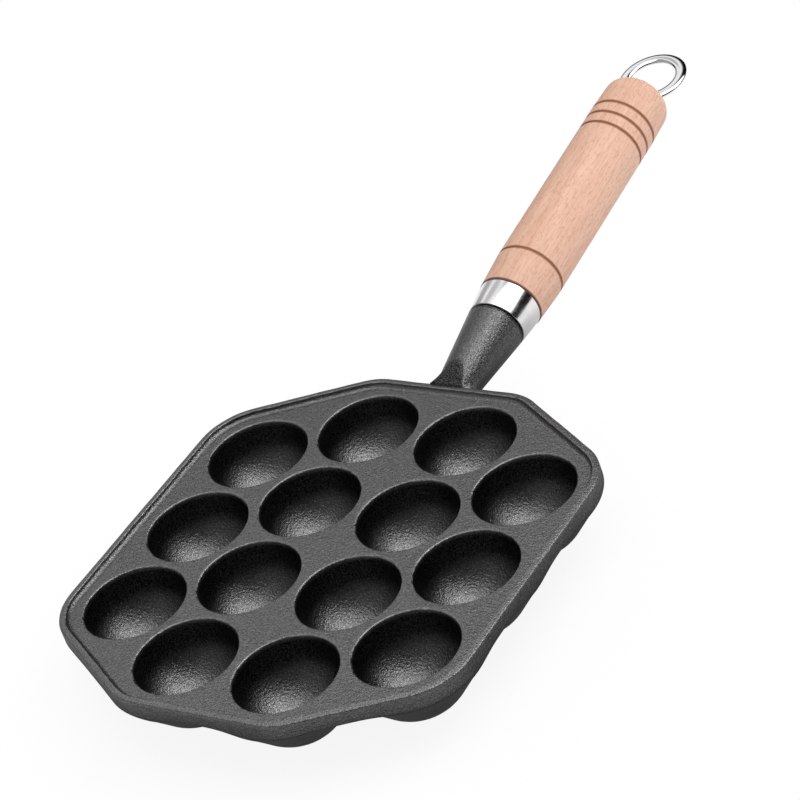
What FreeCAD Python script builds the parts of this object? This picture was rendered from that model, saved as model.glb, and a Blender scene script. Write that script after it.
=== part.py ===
"""Takoyaki pan: a cast plate of round cups, with a wooden grip held on its stem by a screwed eye.

Millimetres, +Z up. The pan stands on the flat bottoms of its cups at Z = 0, and the handle runs
along +Y. The origin is the middle of the whole object's footprint.
"""
import FreeCAD, Part
import math
import os
import Sketcher

Vector = FreeCAD.Vector

# Driving dimensions: name, value, what it is. Lengths in mm, angles in degrees.
DRIVING = [
    ("inner_cups", 4, "cups in an inner column"),
    ("outer_cups", 3, "cups in an outer column"),
    ("cup_mouth", 20.0, "radius of a cup at the plate"),
    ("cup_depth", 24.0, "plate to the bottom of the cup"),
    ("cup_draft", 7.5, "slope of a cup's wall above its round bottom"),
    ("cup_land", 3.4, "plate between two cups of a column"),
    ("middle_land", 4.3, "plate between the two inner columns"),
    ("slant_land", 4.0, "plate between an inner cup and an outer one"),
    ("side_land", 8.35, "outer cups to the side of the pan"),
    ("end_land", 7.9, "last inner cups to the end of the pan"),
    ("cup_wall", 3.0, "iron around a cup"),
    ("cup_foot", 4.5, "radius of the flat that a cup stands on"),
    ("cup_root", 5.6, "how far a cup's outer wall spreads where it meets the plate"),
    ("cup_lip_round", 0.6, "rounding of a cup's mouth"),
    ("plate_thickness", 4.2, "iron between the cups"),
    ("rim_height", 2.2, "rim above the plate"),
    ("rim_width", 2.9, "width of the rim's top"),
    ("side_flat", 16.4, "straight side beyond the last cup centre of an outer column"),
    ("end_flat", 11.6, "straight end beyond an inner column"),
    ("side_corner", 26.0, "corner radius between a side and a slanted edge"),
    ("end_corner", 24.0, "corner radius between an end and a slanted edge"),
    ("recess_round", 1.5, "hollow between the rim and the plate"),
    ("rim_round", 0.5, "rounding of the rim's two top edges"),
    ("underside_round", 1.0, "rounding of the lower outer edge"),
    ("handle_tilt", 7.0, "handle axis above the horizontal"),
    ("handle_drop", 2.24, "handle axis below the plate's top at the end of the pan"),
    ("stem_length", 37.4, "end of the pan to the stem's shoulder"),
    ("stem_root", 7.6, "radius of the stem at the pan"),
    ("stem_end", 11.85, "radius of the stem at its shoulder"),
    ("stem_shoulder_round", 1.6, "rounding of the stem's shoulder"),
    ("stem_flare", 2.4, "spread of the stem where it meets the rim"),
    ("stem_flare_length", 5.5, "length of that spread"),
    ("stem_flare_round", 9.0, "radius of that spread"),
    ("gusset_length", 12.0, "how far the stem's root runs on under the plate"),
    ("gusset_end", 4.2, "radius of that root where it ends"),
    ("facet_slope", 28.0, "flat on top of the stem's root, above the horizontal"),
    ("spigot_length", 4.0, "spigot that centres the ferrule"),
    ("ferrule_length", 12.2, "length of the ferrule"),
    ("ferrule_end", 13.05, "radius of the ferrule at the grip"),
    ("ferrule_wall", 0.8, "sheet of the ferrule"),
    ("seat_gap", 0.05, "clearance between pieces that are clamped together"),
    ("tenon_gap", 0.3, "spigot to the grip's tenon"),
    ("grip_length", 121.7, "length of the grip that shows"),
    ("grip_front", 13.25, "radius of the grip at the ferrule"),
    ("grip_radius", 14.2, "radius of the grip's body"),
    ("grip_back", 13.8, "radius of the grip where its end begins to round"),
    ("grip_front_chamfer", 0.4, "chamfer of the grip's front edge"),
    ("grip_end_round", 6.0, "rounding of the grip's end"),
    ("front_groove", 17.2, "front of the grip to its first groove"),
    ("back_groove", 18.4, "end of the grip to its last groove"),
    ("groove_spacing", 6.2, "between the grooves at the back"),
    ("back_grooves", 3, "grooves at the back"),
    ("groove_width", 1.2, "width of a groove"),
    ("groove_depth", 0.5, "depth of a groove"),
    ("rod_radius", 3.0, "M6 tie rod"),
    ("rod_engagement", 12.0, "thread engaged in the stem"),
    ("rod_tip_chamfer", 0.6, "lead of the rod's tip"),
    ("thread_gap", 0.05, "clearance of the rod in the stem's thread"),
    ("thread_run_out", 2.0, "hole beyond the rod's tip"),
    ("grip_bore_gap", 0.5, "clearance of the rod in the grip and the washer"),
    ("counterbore", 7.4, "radius of the recess in the grip's end"),
    ("counterbore_depth", 4.7, "depth of that recess"),
    ("dish_radius", 9.7, "radius at which that recess opens into the rounded end"),
    ("washer_gap", 0.6, "washer to the wall of that recess"),
    ("washer_thickness", 1.2, "thickness of the washer"),
    ("collar_radius", 4.6, "collar that the ring is welded to"),
    ("ring_radius", 12.35, "mean radius of the ring"),
    ("ring_width", 5.1, "width of the ring's flattened wire, across the hole"),
    ("ring_thickness", 2.5, "thickness of that wire"),
    ("ring_edge_round", 0.8, "radius of its two edges; its faces are flatter arcs"),
    ("ring_gap", 0.3, "clearance of the ring from the dish"),
    ("weld_depth", 1.2, "how deep the ring's wire sits in the collar"),
]

size = {name: value for name, value, _ in DRIVING}


def derive(s):
    """Return the sizes that follow from the driving ones."""
    tilt = math.radians(s["handle_tilt"])
    d = {}
    # Cup: a ball bottom under a cone that leaves the ball at a tangent and ends at the mouth.
    draft = math.radians(s["cup_draft"])
    d["cup_ball"] = (s["cup_mouth"] * math.cos(draft) - s["cup_depth"] * math.sin(draft)) / (
        1 - math.sin(draft)
    )
    d["ball_centre"] = s["cup_depth"] - d["cup_ball"]
    d["cup_tangent_radius"] = d["cup_ball"] * math.cos(draft)
    d["cup_tangent_depth"] = d["ball_centre"] + d["cup_ball"] * math.sin(draft)
    d["cup_cut_height"] = s["rim_height"]
    d["cup_cut_radius"] = s["cup_mouth"] + s["rim_height"] * math.tan(draft)
    # Outer wall of a cup: a ball with a flat foot, spreading as a cone to the plate's underside.
    d["shell_ball"] = d["cup_ball"] + s["cup_wall"]
    d["foot_depth"] = d["ball_centre"] + math.sqrt(d["shell_ball"] ** 2 - s["cup_foot"] ** 2)
    d["root_radius"] = d["shell_ball"] + s["cup_root"]
    root_drop = d["ball_centre"] - s["plate_thickness"]
    root_distance = math.hypot(d["root_radius"], root_drop)
    root_angle = math.acos(d["shell_ball"] / root_distance) - math.atan2(root_drop, d["root_radius"])
    d["shell_tangent_radius"] = d["shell_ball"] * math.cos(root_angle)
    d["shell_tangent_depth"] = d["ball_centre"] + d["shell_ball"] * math.sin(root_angle)
    d["root_top_depth"] = s["plate_thickness"] / 2
    # Columns: the outer ones lie half a pitch along from the inner ones.
    mouth_width = 2 * s["cup_mouth"]
    pitch = mouth_width + s["cup_land"]
    slant_pitch = mouth_width + s["slant_land"]
    d["inner_column"] = (mouth_width + s["middle_land"]) / 2
    d["outer_column"] = d["inner_column"] + math.sqrt(slant_pitch**2 - (pitch / 2) ** 2)
    d["inner_run"] = (s["inner_cups"] - 1) * pitch
    d["outer_run"] = (s["outer_cups"] - 1) * pitch
    d["inner_start"] = d["inner_run"] / 2
    d["outer_start"] = d["outer_run"] / 2
    # Rounded octagon of the pan, and the smaller one of the recess inside its rim.
    d["half_length"] = d["inner_start"] + s["cup_mouth"] + s["end_land"]
    pan_half_width = d["outer_column"] + s["cup_mouth"] + s["side_land"]
    side_half = d["outer_start"] + s["side_flat"]
    end_half = d["inner_column"] + s["end_flat"]
    slant = math.atan2(d["half_length"] - side_half, pan_half_width - end_half)
    side_tangent = s["side_corner"] * math.tan((math.pi / 2 - slant) / 2)
    end_tangent = s["end_corner"] * math.tan(slant / 2)
    for outline, inset in (("pan", 0), ("recess", s["rim_width"])):
        d[f"{outline}_side_x"] = pan_half_width - inset
        d[f"{outline}_side_y"] = side_half - side_tangent
        d[f"{outline}_low_x"] = pan_half_width - side_tangent * math.cos(slant) - inset * math.sin(slant)
        d[f"{outline}_low_y"] = side_half + side_tangent * math.sin(slant) - inset * math.cos(slant)
        d[f"{outline}_high_x"] = end_half + end_tangent * math.cos(slant) - inset * math.sin(slant)
        d[f"{outline}_high_y"] = d["half_length"] - end_tangent * math.sin(slant) - inset * math.cos(slant)
        d[f"{outline}_end_x"] = end_half - end_tangent
        d[f"{outline}_end_y"] = d["half_length"] - inset
        d[f"{outline}_side_corner"] = s["side_corner"] - inset
        d[f"{outline}_end_corner"] = s["end_corner"] - inset
    d["casting_edge"] = s["plate_thickness"] + s["rim_height"]
    # Stem, along the handle axis from the end of the pan.
    d["stem_flare_radius"] = s["stem_root"] + s["stem_flare"]
    d["stem_flare_end"] = s["stem_root"] + (s["stem_end"] - s["stem_root"]) * (
        s["stem_flare_length"] / s["stem_length"]
    )
    d["stem_round_start"] = s["stem_length"] - s["stem_shoulder_round"]
    d["stem_shoulder"] = s["stem_end"] - s["stem_shoulder_round"]
    d["facet_start"] = d["half_length"] - s["rim_width"] / 2
    facet_run = 4 * s["stem_root"]
    d["facet_end"] = d["facet_start"] + facet_run
    d["facet_rise"] = s["rim_height"] + facet_run * math.tan(math.radians(s["facet_slope"]))
    d["facet_top"] = d["facet_rise"] + s["stem_end"]
    d["facet_span"] = 4 * s["stem_end"]
    # Ferrule.
    d["ferrule_base"] = s["stem_length"] + s["seat_gap"]
    d["ferrule_top"] = d["ferrule_base"] + s["ferrule_length"]
    d["ferrule_base_radius"] = s["stem_end"]
    d["ferrule_base_bore"] = d["ferrule_base_radius"] - s["ferrule_wall"]
    d["ferrule_top_bore"] = s["ferrule_end"] - s["ferrule_wall"]
    d["spigot_radius"] = d["ferrule_base_bore"] - s["seat_gap"]
    d["spigot_top"] = s["stem_length"] + s["spigot_length"]
    # Grip.
    d["grip_start"] = d["ferrule_top"] + s["seat_gap"]
    d["grip_end"] = d["grip_start"] + s["grip_length"]
    d["tenon_start"] = d["spigot_top"] + s["tenon_gap"]
    bore_slope = (s["ferrule_end"] - d["ferrule_base_radius"]) / s["ferrule_length"]
    d["tenon_start_radius"] = (
        d["ferrule_base_bore"] - s["seat_gap"] + bore_slope * (d["tenon_start"] - d["ferrule_base"])
    )
    d["tenon_end_radius"] = d["ferrule_top_bore"] - s["seat_gap"]
    d["grip_front_edge"] = s["grip_front"] - s["grip_front_chamfer"]
    d["grip_front_full"] = d["grip_start"] + s["grip_front_chamfer"]
    d["front_groove_at"] = d["grip_start"] + s["front_groove"]
    d["last_groove_at"] = d["grip_end"] - s["back_groove"]
    d["back_groove_run"] = (s["back_grooves"] - 1) * s["groove_spacing"]
    d["groove_half"] = s["groove_width"] / 2
    d["groove_bottom"] = s["grip_radius"] - s["groove_depth"]
    d["groove_outside"] = s["grip_radius"] + s["groove_depth"]
    dish_on_round = s["dish_radius"] - (s["grip_back"] - s["grip_end_round"])
    d["grip_round_start"] = d["grip_end"] - math.sqrt(s["grip_end_round"] ** 2 - dish_on_round**2)
    d["grip_bore"] = s["rod_radius"] + s["grip_bore_gap"]
    d["counterbore_floor"] = d["grip_end"] - s["counterbore_depth"]
    # Washer and eye. The dish follows the ring, which turns in it.
    d["washer_radius"] = s["counterbore"] - s["washer_gap"]
    d["washer_start"] = d["counterbore_floor"] + s["seat_gap"]
    d["washer_end"] = d["washer_start"] + s["washer_thickness"]
    d["collar_start"] = d["washer_end"] + s["seat_gap"]
    wire_half_width = s["ring_width"] / 2
    half_thickness = s["ring_thickness"] / 2
    d["ring_outside"] = s["ring_radius"] + wire_half_width
    # Section of the wire: edge arcs and face arcs that touch, so their centres are as far apart as
    # their radii differ.
    edge_centre = wire_half_width - s["ring_edge_round"]
    d["ring_face_round"] = (edge_centre**2 + half_thickness**2 - s["ring_edge_round"] ** 2) / (
        2 * (half_thickness - s["ring_edge_round"])
    )
    blend = d["ring_face_round"] / (d["ring_face_round"] - s["ring_edge_round"])
    d["ring_blend_half"] = half_thickness - d["ring_face_round"] + blend * (
        d["ring_face_round"] - half_thickness
    )
    d["ring_blend_outer"] = s["ring_radius"] + blend * edge_centre
    d["ring_blend_inner"] = s["ring_radius"] - blend * edge_centre
    clear_radius = d["ring_outside"] + s["ring_gap"]
    d["ring_centre"] = d["grip_end"] + math.sqrt(clear_radius**2 - s["dish_radius"] ** 2)
    d["dish_floor"] = d["ring_centre"] - math.sqrt(clear_radius**2 - s["counterbore"] ** 2)
    d["collar_end"] = d["ring_centre"] - d["ring_outside"] + s["weld_depth"]
    d["rod_tip"] = d["spigot_top"] - s["rod_engagement"]
    d["rod_tip_full"] = d["rod_tip"] + s["rod_tip_chamfer"]
    d["rod_tip_radius"] = s["rod_radius"] - s["rod_tip_chamfer"]
    d["hole_radius"] = s["rod_radius"] + s["thread_gap"]
    d["hole_floor"] = d["rod_tip"] - s["thread_run_out"]
    # Place of the pan and of the handle in the object's frame.
    outer_edge = d["ring_centre"] + d["ring_outside"] - s["ring_edge_round"]
    d["pan_set_back"] = (outer_edge * math.cos(tilt) + s["ring_edge_round"]) / 2
    d["handle_set_back"] = d["pan_set_back"] - d["half_length"]
    d["handle_height"] = d["foot_depth"] - s["handle_drop"]
    d["handle_lean"] = 90 - s["handle_tilt"]
    return d


size.update(derive(size))

doc = FreeCAD.newDocument("TakoyakiPan")
sheet = doc.addObject("Spreadsheet::Sheet", "Sizes")
for row, (name, value) in enumerate(size.items(), start=1):
    sheet.set(f"A{row}", name)
    sheet.set(f"B{row}", repr(float(value)))
    sheet.setAlias(f"B{row}", name)
doc.recompute()


def value_of(name):
    """Value of a signed size name such as "cup_depth", "-cup_depth" or "0"."""
    if name == "0":
        return 0.0
    return -size[name[1:]] if name.startswith("-") else size[name]


def expression_of(name):
    """Spreadsheet expression of a signed size name."""
    return f"-Sizes.{name[1:]}" if name.startswith("-") else f"Sizes.{name}"


def bind(thing, **bindings):
    """Bind properties of a feature to cells; a double underscore in a name stands for a dot."""
    for prop, name in bindings.items():
        thing.setExpression(prop.replace("__", "."), expression_of(name))


def new_body(label):
    body = doc.addObject("PartDesign::Body", label)
    body.Label = label
    return body


def origin_feature(body, role):
    return next(f for f in body.Origin.OriginFeatures if f.Role == role)


def new_sketch(body, name, plane, offset=None):
    """Sketch on one of the body's own origin planes, moved in it by cells if offset is given."""
    sketch = body.newObject("Sketcher::SketchObject", name)
    sketch.AttachmentSupport = [(origin_feature(body, plane), "")]
    sketch.MapMode = "FlatFace"
    for axis, cell in (offset or {}).items():
        sketch.setExpression(f"AttachmentOffset.Base.{axis}", expression_of(cell))
    return sketch


def pin_point(sketch, geo, pos, x_name, y_name):
    """Hold a point of the sketch at the coordinates that two signed size names give."""
    for kind, axis, name in (("DistanceX", -2, x_name), ("DistanceY", -1, y_name)):
        if name == "0":
            sketch.addConstraint(Sketcher.Constraint("PointOnObject", geo, pos, axis))
            continue
        ends = (geo, pos, -1, 1) if name.startswith("-") else (-1, 1, geo, pos)
        index = sketch.addConstraint(Sketcher.Constraint(kind, *ends, abs(value_of(name))))
        sketch.setExpression(f"Constraints[{index}]", f"Sizes.{name.lstrip('-')}")


def draw_loop(sketch, corners, arcs=None):
    """Closed outline through corners, each a pair of signed size names.

    arcs maps a corner's number to (radius name, "left" or "right"): the edge that leaves that
    corner is then a short arc, with its centre on that side of the way to the next corner.
    """
    arcs = arcs or {}
    points = [Vector(value_of(x), value_of(y), 0) for x, y in corners]
    ends = []
    for i, start in enumerate(points):
        finish = points[(i + 1) % len(points)]
        if i not in arcs:
            geo = sketch.addGeometry(Part.LineSegment(start, finish), False)
            ends.append((geo, 1, 2))
            continue
        radius = size[arcs[i][0]]
        chord = finish - start
        rise = math.sqrt(radius**2 - chord.Length**2 / 4)
        left = Vector(-chord.y, chord.x, 0).normalize()
        turn = 1 if arcs[i][1] == "left" else -1
        centre = (start + finish) / 2 + left * (turn * rise)
        a0 = math.atan2(start.y - centre.y, start.x - centre.x)
        a1 = math.atan2(finish.y - centre.y, finish.x - centre.x)
        circle = Part.Circle(centre, Vector(0, 0, 1), radius)
        pair = (a0, a1) if turn == 1 else (a1, a0)
        geo = sketch.addGeometry(Part.ArcOfCircle(circle, *pair), False)
        ends.append((geo, 1, 2) if turn == 1 else (geo, 2, 1))
        index = sketch.addConstraint(Sketcher.Constraint("Radius", geo, radius))
        sketch.setExpression(f"Constraints[{index}]", f"Sizes.{arcs[i][0]}")
    for i, (geo, first, last) in enumerate(ends):
        after, after_first, _ = ends[(i + 1) % len(ends)]
        sketch.addConstraint(Sketcher.Constraint("Coincident", geo, last, after, after_first))
        pin_point(sketch, geo, first, *corners[i])


def turn_profile(body, name, kind, sketch, axis):
    """Revolution or Groove of a sketch through a full turn about one of its own axes."""
    before = body.Shape.Volume if body.Tip else 0.0
    feature = body.newObject(f"PartDesign::{kind}", name)
    feature.Profile = sketch
    feature.ReferenceAxis = (sketch, [axis])
    feature.Angle = 360
    doc.recompute()
    check_change(kind, name, before, body.Shape.Volume)
    return feature


def check_change(kind, name, before, after):
    """Stop if a feature that cuts left the solid as it was, or one that adds did not grow it."""
    grew = after - before
    if (kind in ("Groove", "Pocket") and grew >= 0) or (kind in ("Revolution", "Pad") and grew <= 0):
        raise ValueError(f"{name} did not change the solid as a {kind} should: {before} to {after}")


def extrude_sketch(body, name, kind, sketch, length, reverse=False, both_ways=False):
    before = body.Shape.Volume if body.Tip else 0.0
    feature = body.newObject(f"PartDesign::{kind}", name)
    feature.Profile = sketch
    feature.Reversed = reverse
    feature.Midplane = both_ways
    bind(feature, Length=length)
    doc.recompute()
    check_change(kind, name, before, body.Shape.Volume)
    return feature


def round_edges(body, name, radius, chosen):
    """Fillet the edges of the body's last feature for which chosen(edge) is true."""
    base = body.Tip
    names = [f"Edge{i}" for i, edge in enumerate(base.Shape.Edges, start=1) if chosen(edge)]
    if not names:
        raise ValueError(f"{name} found no edges to round")
    fillet = body.newObject("PartDesign::Fillet", name)
    fillet.Base = (base, names)
    bind(fillet, Radius=radius)
    doc.recompute()
    return fillet


def repeat_in_columns(body, name, feature, run, count):
    """Repeat a cup feature along its column, then mirror the column to the other side."""
    both = body.newObject("PartDesign::MultiTransform", name)
    both.Originals = [feature]
    column = body.newObject("PartDesign::LinearPattern", f"{name}Column")
    column.Direction = (origin_feature(body, "Y_Axis"), [""])
    bind(column, Length=run, Occurrences=count)
    mirror = body.newObject("PartDesign::Mirrored", f"{name}Mirror")
    mirror.MirrorPlane = (origin_feature(body, "YZ_Plane"), [""])
    both.Transformations = [column, mirror]
    body.Tip = both
    before = feature.Shape.Volume
    doc.recompute()
    if abs(body.Shape.Volume - before) < 1:
        raise ValueError(f"{name} repeated nothing")


NEAR = 0.01  # mm, to tell whether a point lies on a plane


def lies_at_height(edge, height):
    box = edge.BoundBox
    return abs(box.ZMin - height) < NEAR and abs(box.ZMax - height) < NEAR


def draw_outline(sketch, outline):
    """Octagon with rounded corners, anticlockwise, for the outline "pan" or "recess"."""
    quarter = [("side_x", "side_y"), ("low_x", "low_y"), ("high_x", "high_y"), ("end_x", "end_y")]
    corners = []
    for x_sign, y_sign, order in (("", "", 1), ("-", "", -1), ("-", "-", 1), ("", "-", -1)):
        corners += [(f"{x_sign}{outline}_{x}", f"{y_sign}{outline}_{y}") for x, y in quarter[::order]]
    turns = ["side_corner", "end_corner", "end_corner", "side_corner"] * 2
    draw_loop(sketch, corners, {2 * i: (f"{outline}_{turn}", "left") for i, turn in enumerate(turns)})


# Pan casting, modelled about the middle of its cups with the plate's top at its own Z = 0.
def build_pan():
    pan = new_body("pan_casting")
    outline = new_sketch(pan, "PanOutline", "XY_Plane", {"z": "-plate_thickness"})
    draw_outline(outline, "pan")
    extrude_sketch(pan, "PanSlab", "Pad", outline, "casting_edge")
    round_edges(pan, "UndersideRound", "underside_round",
                lambda e: lies_at_height(e, -size["plate_thickness"]))
    round_edges(pan, "RimOutside", "rim_round", lambda e: lies_at_height(e, size["rim_height"]))
    add_cup_shells(pan)
    add_stem(pan)
    add_recess(pan)
    cut_cups(pan)
    round_edges(pan, "CupLips", "cup_lip_round", is_cup_mouth)
    cut_threaded_hole(pan)
    bind(pan, Placement__Base__y="-pan_set_back", Placement__Base__z="foot_depth")
    return pan


def is_cup_mouth(edge):
    return edge.isClosed() and lies_at_height(edge, 0)


COLUMNS = {
    "Inner": ({"x": "inner_column", "z": "inner_start"}, "inner_run", "inner_cups"),
    "Outer": ({"x": "outer_column", "z": "outer_start"}, "outer_run", "outer_cups"),
}


def add_cup_shells(pan):
    """The iron around each cup: flat foot, ball, and a cone up to the plate."""
    profile = [
        ("0", "-foot_depth"), ("cup_foot", "-foot_depth"), ("shell_tangent_radius", "-shell_tangent_depth"),
        ("root_radius", "-plate_thickness"), ("root_radius", "-root_top_depth"), ("0", "-root_top_depth"),
    ]
    for column, (offset, run, count) in COLUMNS.items():
        sketch = new_sketch(pan, f"{column}ShellProfile", "XZ_Plane", offset)
        draw_loop(sketch, profile, {1: ("shell_ball", "left")})
        shell = turn_profile(pan, f"{column}Shell", "Revolution", sketch, "V_Axis")
        repeat_in_columns(pan, f"{column}Shells", shell, run, count)


def cut_cups(pan):
    profile = [
        ("0", "-cup_depth"), ("cup_tangent_radius", "-cup_tangent_depth"),
        ("cup_cut_radius", "cup_cut_height"), ("0", "cup_cut_height"),
    ]
    for column, (offset, run, count) in COLUMNS.items():
        sketch = new_sketch(pan, f"{column}CupProfile", "XZ_Plane", offset)
        draw_loop(sketch, profile, {0: ("cup_ball", "left")})
        cup = turn_profile(pan, f"{column}Cup", "Groove", sketch, "V_Axis")
        repeat_in_columns(pan, f"{column}Cups", cup, run, count)


def stem_sketch(pan, name):
    """Sketch in the plane of symmetry whose own X axis is the handle axis."""
    sketch = new_sketch(pan, name, "YZ_Plane", {"x": "half_length", "y": "-handle_drop"})
    sketch.AttachmentOffset = FreeCAD.Placement(
        sketch.AttachmentOffset.Base, FreeCAD.Rotation(Vector(0, 0, 1), size["handle_tilt"])
    )
    bind(sketch, AttachmentOffset__Rotation__Angle="handle_tilt")
    return sketch


def add_stem(pan):
    """Stem: a round cone that flares at the rim, with a root under the plate and a spigot."""
    sketch = stem_sketch(pan, "StemProfile")
    profile = [
        ("-gusset_length", "0"), ("spigot_top", "0"), ("spigot_top", "spigot_radius"),
        ("stem_length", "spigot_radius"), ("stem_length", "stem_shoulder"),
        ("stem_round_start", "stem_end"), ("stem_flare_length", "stem_flare_end"),
        ("0", "stem_flare_radius"), ("-gusset_length", "gusset_end"),
    ]
    draw_loop(sketch, profile, {4: ("stem_shoulder_round", "left"), 6: ("stem_flare_round", "right")})
    turn_profile(pan, "Stem", "Revolution", sketch, "H_Axis")
    facet = new_sketch(pan, "StemFacetProfile", "YZ_Plane")
    draw_loop(facet, [("0", "rim_height"), ("facet_start", "rim_height"), ("facet_end", "facet_rise"),
                      ("facet_end", "facet_top"), ("0", "facet_top")])
    extrude_sketch(pan, "StemFacet", "Pocket", facet, "facet_span", both_ways=True)


def stands_on_recess_wall(shape, edge):
    """True for an edge beside a wall that rises from the plate's top."""
    walls = [face.BoundBox for face in shape.ancestorsOfType(edge, Part.Face)]
    return any(abs(box.ZMin) < NEAR and box.ZLength > NEAR for box in walls)


def add_recess(pan):
    """The shallow tray inside the rim, with a hollow round its foot."""
    sketch = new_sketch(pan, "RecessOutline", "XY_Plane")
    draw_outline(sketch, "recess")
    extrude_sketch(pan, "Recess", "Pocket", sketch, "facet_top", reverse=True)
    round_edges(pan, "RimInside", "rim_round",
                lambda e: lies_at_height(e, size["rim_height"]) and stands_on_recess_wall(pan.Tip.Shape, e))
    round_edges(pan, "RecessHollow", "recess_round", lambda e: lies_at_height(e, 0))


def cut_threaded_hole(pan):
    sketch = stem_sketch(pan, "ThreadedHoleProfile")
    draw_loop(sketch, [("hole_floor", "0"), ("spigot_top", "0"),
                       ("spigot_top", "hole_radius"), ("hole_floor", "hole_radius")])
    turn_profile(pan, "ThreadedHole", "Groove", sketch, "H_Axis")


# Pieces on the handle axis: each body's own Z is that axis, from the end of the pan.
def place_on_handle(body):
    body.Placement = FreeCAD.Placement(Vector(), FreeCAD.Rotation(Vector(-1, 0, 0), size["handle_lean"]))
    bind(body, Placement__Base__y="-handle_set_back", Placement__Base__z="handle_height",
         Placement__Rotation__Angle="handle_lean")


def turned_piece(label, profile, arcs=None):
    body = new_body(label)
    sketch = new_sketch(body, f"{label}_profile", "XZ_Plane")
    draw_loop(sketch, profile, arcs)
    turn_profile(body, f"{label}_turned", "Revolution", sketch, "V_Axis")
    place_on_handle(body)
    return body


def build_ferrule():
    return turned_piece("ferrule", [
        ("ferrule_base_bore", "ferrule_base"), ("ferrule_base_radius", "ferrule_base"),
        ("ferrule_end", "ferrule_top"), ("ferrule_top_bore", "ferrule_top"),
    ])


def build_grip():
    """Turned grip: tenon inside the ferrule, body, rounded end, bore and counterbore."""
    grip = turned_piece("grip", [
        ("grip_bore", "tenon_start"), ("tenon_start_radius", "tenon_start"),
        ("tenon_end_radius", "grip_start"), ("grip_front_edge", "grip_start"),
        ("grip_front", "grip_front_full"), ("grip_radius", "front_groove_at"),
        ("grip_radius", "last_groove_at"), ("grip_back", "grip_round_start"),
        ("dish_radius", "grip_end"), ("counterbore", "dish_floor"),
        ("counterbore", "counterbore_floor"), ("grip_bore", "counterbore_floor"),
    ], {7: ("grip_end_round", "left")})
    groove_section = [("groove_outside", "groove_half"), ("groove_bottom", "0"),
                      ("groove_outside", "-groove_half")]
    for name, place in (("FrontGroove", "front_groove_at"), ("BackGroove", "last_groove_at")):
        sketch = new_sketch(grip, f"{name}Section", "XZ_Plane", {"y": place})
        draw_loop(sketch, groove_section)
        groove = turn_profile(grip, name, "Groove", sketch, "V_Axis")
    pattern = grip.newObject("PartDesign::LinearPattern", "BackGrooves")
    pattern.Originals = [groove]
    pattern.Direction = (origin_feature(grip, "Z_Axis"), [""])
    pattern.Reversed = True
    bind(pattern, Length="back_groove_run", Occurrences="back_grooves")
    grip.Tip = pattern
    doc.recompute()
    if grip.Shape.Volume >= groove.Shape.Volume:
        raise ValueError("the back grooves were not repeated")
    return grip


def build_end_washer():
    return turned_piece("end_washer", [
        ("grip_bore", "washer_start"), ("washer_radius", "washer_start"),
        ("washer_radius", "washer_end"), ("grip_bore", "washer_end"),
    ])


def build_hanging_eye():
    """Tie rod and collar turned as one, with a ring of flattened wire welded on the collar."""
    eye = turned_piece("hanging_eye", [
        ("0", "rod_tip"), ("rod_tip_radius", "rod_tip"), ("rod_radius", "rod_tip_full"),
        ("rod_radius", "collar_start"), ("collar_radius", "collar_start"),
        ("collar_radius", "collar_end"), ("0", "collar_end"),
    ])
    wire = new_sketch(eye, "RingWire", "YZ_Plane", {"y": "ring_centre"})
    draw_loop(wire, [
        ("ring_blend_half", "ring_blend_outer"), ("-ring_blend_half", "ring_blend_outer"),
        ("-ring_blend_half", "ring_blend_inner"), ("ring_blend_half", "ring_blend_inner"),
    ], {i: ("ring_edge_round" if i % 2 == 0 else "ring_face_round", "left") for i in range(4)})
    turn_profile(eye, "Ring", "Revolution", wire, "H_Axis")
    return eye


pieces = [build_pan(), build_ferrule(), build_grip(), build_end_washer(), build_hanging_eye()]
doc.recompute()

for thing in doc.Objects:
    if "Invalid" in thing.State or "Error" in thing.State:
        raise ValueError(f"{thing.Name} failed: {thing.State}")

os.makedirs("parts", exist_ok=True)
for piece in pieces:
    shape = piece.Shape
    if shape.isNull() or not shape.isValid() or len(shape.Solids) != 1:
        raise ValueError(f"{piece.Label} is not one valid solid")
    shape.exportStep(os.path.join("parts", f"{piece.Label}.step"))
    box = shape.BoundBox
    print(
        f"{piece.Label}: {shape.Volume / 1000:.2f} cm3, "
        f"X {box.XMin:.1f} to {box.XMax:.1f}, Y {box.YMin:.1f} to {box.YMax:.1f}, "
        f"Z {box.ZMin:.1f} to {box.ZMax:.1f}"
    )
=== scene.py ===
# %% [markdown]
# # A cast-iron takoyaki pan with a wooden grip
# The imported CAD model is the frame of this scene: it says where every piece is and which body it
# moves with. Each piece is then made again as a smooth surface with a finish of its own, and put
# exactly where its CAD solid is. This first cell loads that frame and can read the outer box of any
# of its parts.

# %% Load the frame
import math

import bmesh
import bpy
import numpy as np
from mathutils import Matrix, Vector


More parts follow.
